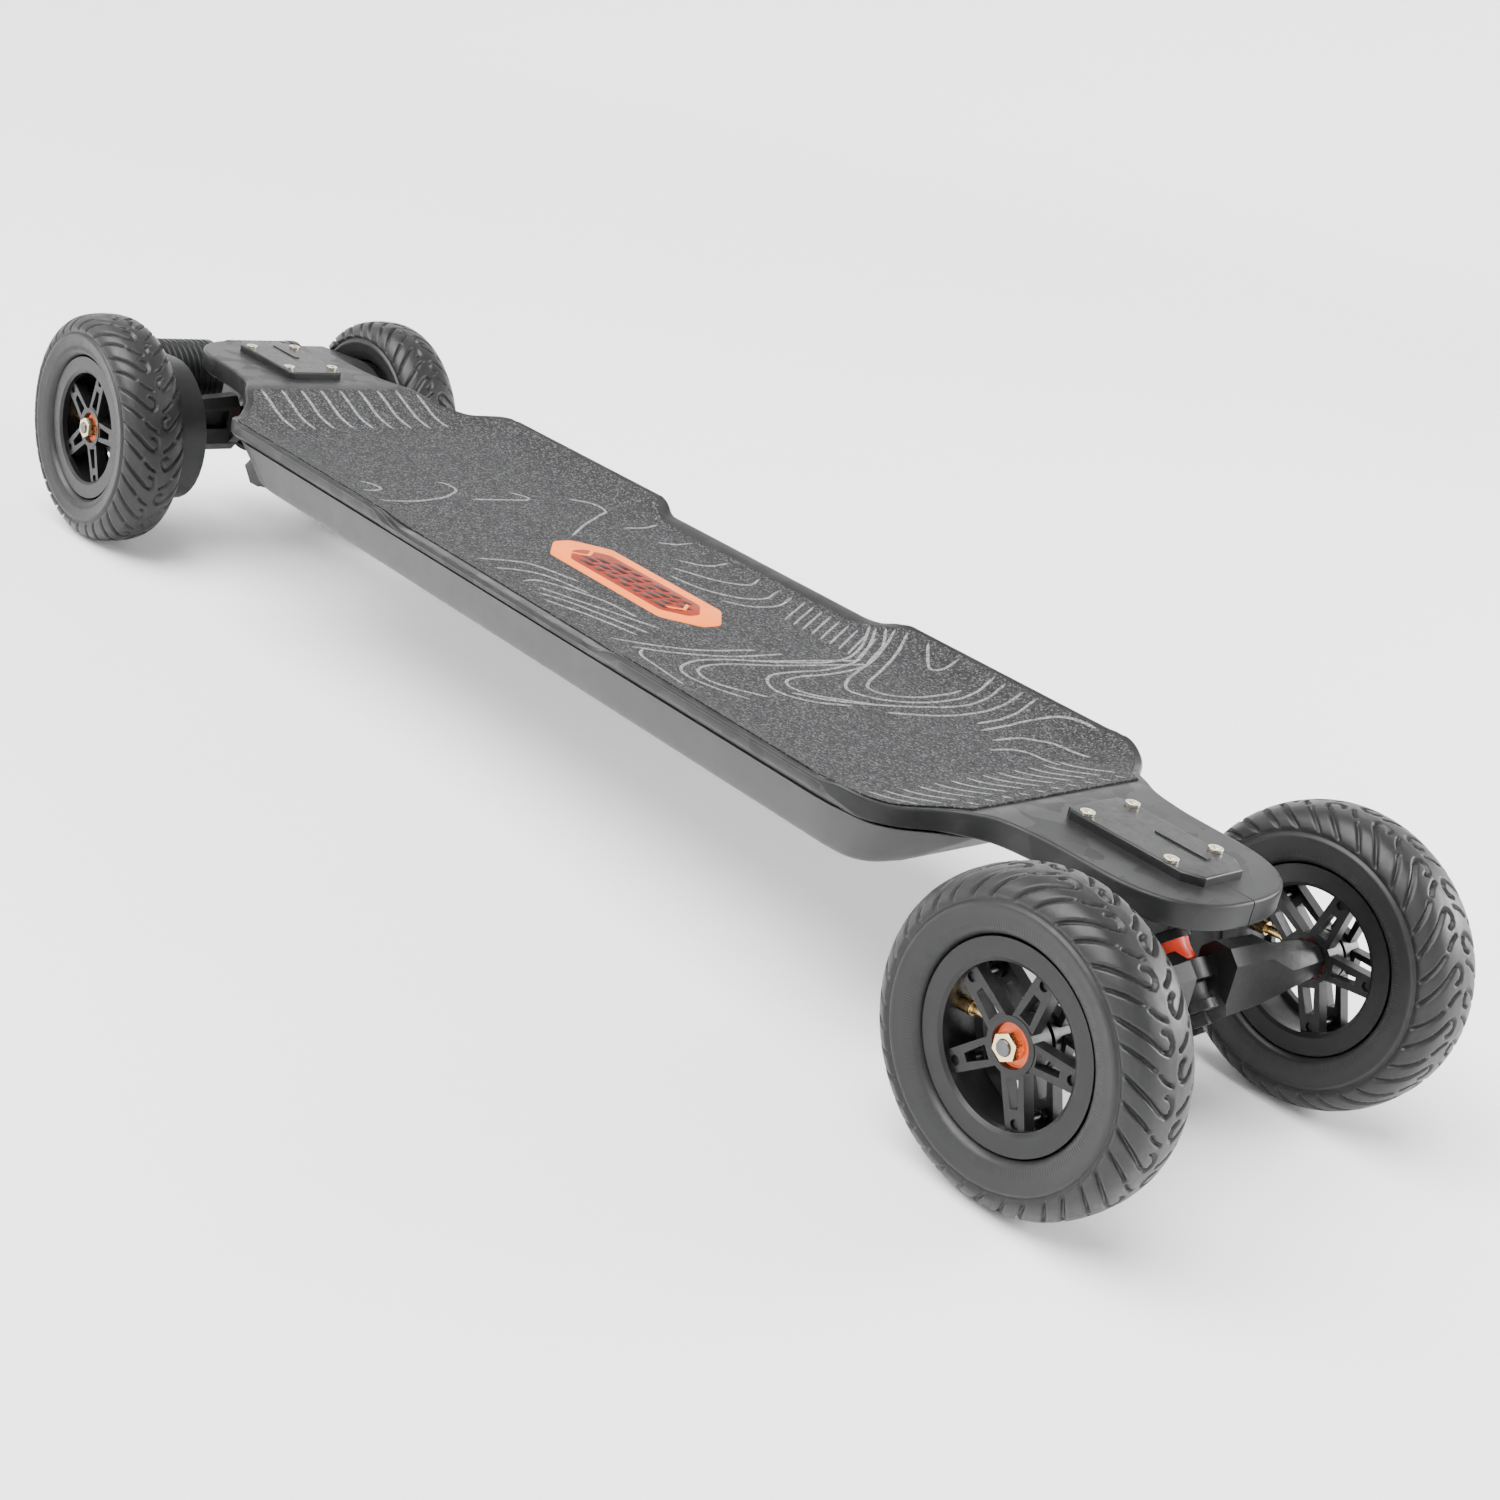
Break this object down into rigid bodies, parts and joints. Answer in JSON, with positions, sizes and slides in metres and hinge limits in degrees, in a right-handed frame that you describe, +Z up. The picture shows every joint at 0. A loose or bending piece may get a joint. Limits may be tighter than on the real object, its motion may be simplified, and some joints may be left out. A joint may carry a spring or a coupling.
{
  "type": "electric skateboard",
  "caption": "All-terrain electric skateboard: drop-through composite deck with grit mat, slim battery enclosure, steering trucks, spoked pneumatic wheels and rear belt drive.",
  "frame": {"origin": "on the ground, half way between the axles, on the centre line", "axes": "+X towards the front truck, +Y to the rider's left, +Z up"},
  "size_m": [1.093, 0.283, 0.165],
  "materials": {
    "deck_composite": "satin forged composite",
    "grip": "coarse grit with lighter contour lines",
    "badge": null,
    "enclosure_shell": "satin",
    "seal_rubber": "matte",
    "black_screw": "black oxide",
    "cell_wrap": "shrink sleeve",
    "controller": "anodised",
    "switch_plastic": "moulded",
    "button_plastic": "satin",
    "cap_rubber": "matte",
    "plate_black": "fine textured black",
    "zinc_steel": "bright zinc",
    "yellow_zinc": "pale yellow zinc",
    "cast_black": "black powder coat",
    "cup_urethane": "moulded urethane",
    "bushing_urethane": "cast urethane",
    "axle_steel": "ground",
    "motor_black": "anodised",
    "rotor_steel": "ground",
    "pulley_metal": "anodised",
    "belt_rubber": "moulded",
    "cover_black": "satin moulded",
    "tyre_rubber": "moulded rubber",
    "hub_nylon": "satin moulded",
    "bearing_shield": "orange-red shield",
    "valve_brass": "turned"
  },
  "bodies": {
    "chassis": {"deck": "deck_composite", "grip_mat": "grip", "badge_plate": "badge", "enclosure": "enclosure_shell", "enclosure_gasket": "seal_rubber", "enclosure_screws": "black_screw", "battery_cells": "cell_wrap", "speed_controller": "controller", "power_switch": "switch_plastic", "charge_port": "switch_plastic", "neck_plates": "plate_black", "truck_bolts": "zinc_steel", "front_baseplate": "cast_black", "rear_baseplate": "cast_black", "pivot_cups": "cup_urethane", "kingpins": "black_screw", "kingpin_nuts": "black_screw", "cup_washers": "black_screw", "front_bushings": "bushing_urethane", "rear_bushings": "bushing_urethane"},
    "power_button": {"power_button": "button_plastic"},
    "port_cap": {"port_cap": "cap_rubber"},
    "front_hanger": {"front_hanger": "cast_black", "front_axles": "axle_steel", "front_axle_nuts": "yellow_zinc"},
    "rear_hanger": {"rear_hanger": "cast_black", "rear_axles": "axle_steel", "rear_axle_nuts": "yellow_zinc", "motor_case_left": "motor_black", "motor_case_right": "motor_black", "motor_mounts": "motor_black", "drive_cover_left": "cover_black", "drive_cover_right": "cover_black", "drive_belts": "belt_rubber"},
    "wheel_front_left": {"tyre_front_left": "tyre_rubber", "hub_halves_front_left": "hub_nylon", "bearings_front_left": "bearing_shield", "hub_bolts_front_left": "black_screw", "valve_front_left": "valve_brass"},
    "wheel_front_right": {"tyre_front_right": "tyre_rubber", "hub_halves_front_right": "hub_nylon", "bearings_front_right": "bearing_shield", "hub_bolts_front_right": "black_screw", "valve_front_right": "valve_brass"},
    "wheel_rear_left": {"tyre_rear_left": "tyre_rubber", "hub_halves_rear_left": "hub_nylon", "bearings_rear_left": "bearing_shield", "hub_bolts_rear_left": "black_screw", "valve_rear_left": "valve_brass", "wheel_pulley_left": "pulley_metal"},
    "wheel_rear_right": {"tyre_rear_right": "tyre_rubber", "hub_halves_rear_right": "hub_nylon", "bearings_rear_right": "bearing_shield", "hub_bolts_rear_right": "black_screw", "valve_rear_right": "valve_brass", "wheel_pulley_right": "pulley_metal"},
    "motor_left": {"motor_rotor_left": "rotor_steel", "motor_pulley_left": "pulley_metal"},
    "motor_right": {"motor_rotor_right": "rotor_steel", "motor_pulley_right": "pulley_metal"}
  },
  "joints": [
    {"name": "front_steer", "type": "hinge", "parent": "chassis", "child": "front_hanger", "pos_m": [0.456, 0, 0.088], "axis": [0.7071, 0, 0.7071], "range_deg": [-12, 12], "stiffness_Nm_per_rad": 150, "deforming": ["front_bushings"]},
    {"name": "rear_steer", "type": "hinge", "parent": "chassis", "child": "rear_hanger", "pos_m": [-0.456, 0, 0.088], "axis": [-0.7071, 0, 0.7071], "range_deg": [-12, 12], "stiffness_Nm_per_rad": 150, "deforming": ["rear_bushings"]},
    {"name": "wheel_front_left_spin", "type": "hinge", "parent": "front_hanger", "child": "wheel_front_left", "pos_m": [0.464, 0.118, 0.0825], "axis": [0, 1, 0], "continuous": true},
    {"name": "wheel_front_right_spin", "type": "hinge", "parent": "front_hanger", "child": "wheel_front_right", "pos_m": [0.464, -0.118, 0.0825], "axis": [0, 1, 0], "continuous": true},
    {"name": "wheel_rear_left_spin", "type": "hinge", "parent": "rear_hanger", "child": "wheel_rear_left", "pos_m": [-0.464, 0.118, 0.0825], "axis": [0, 1, 0], "continuous": true},
    {"name": "wheel_rear_right_spin", "type": "hinge", "parent": "rear_hanger", "child": "wheel_rear_right", "pos_m": [-0.464, -0.118, 0.0825], "axis": [0, 1, 0], "continuous": true},
    {"name": "motor_left_spin", "type": "hinge", "parent": "rear_hanger", "child": "motor_left", "pos_m": [-0.5205, 0.06, 0.1085], "axis": [0, 1, 0], "continuous": true},
    {"name": "motor_right_spin", "type": "hinge", "parent": "rear_hanger", "child": "motor_right", "pos_m": [-0.5205, -0.06, 0.1085], "axis": [0, 1, 0], "continuous": true},
    {"name": "power_button_press", "type": "slide", "parent": "chassis", "child": "power_button", "axis": [0, -0.9644, 0.2643], "range_m": [0, 0.0012], "stiffness_N_per_m": 400},
    {"name": "port_cap_flip", "type": "hinge", "parent": "chassis", "child": "port_cap", "pos_m": [-0.18, 0.1097, 0.12053], "axis": [1, 0, 0], "range_deg": [0, 100]}
  ],
  "couplings": [
    {"joint": "motor_left_spin", "follows": "wheel_rear_left_spin", "ratio": 3.7333},
    {"joint": "motor_right_spin", "follows": "wheel_rear_right_spin", "ratio": 3.7333}
  ]
}
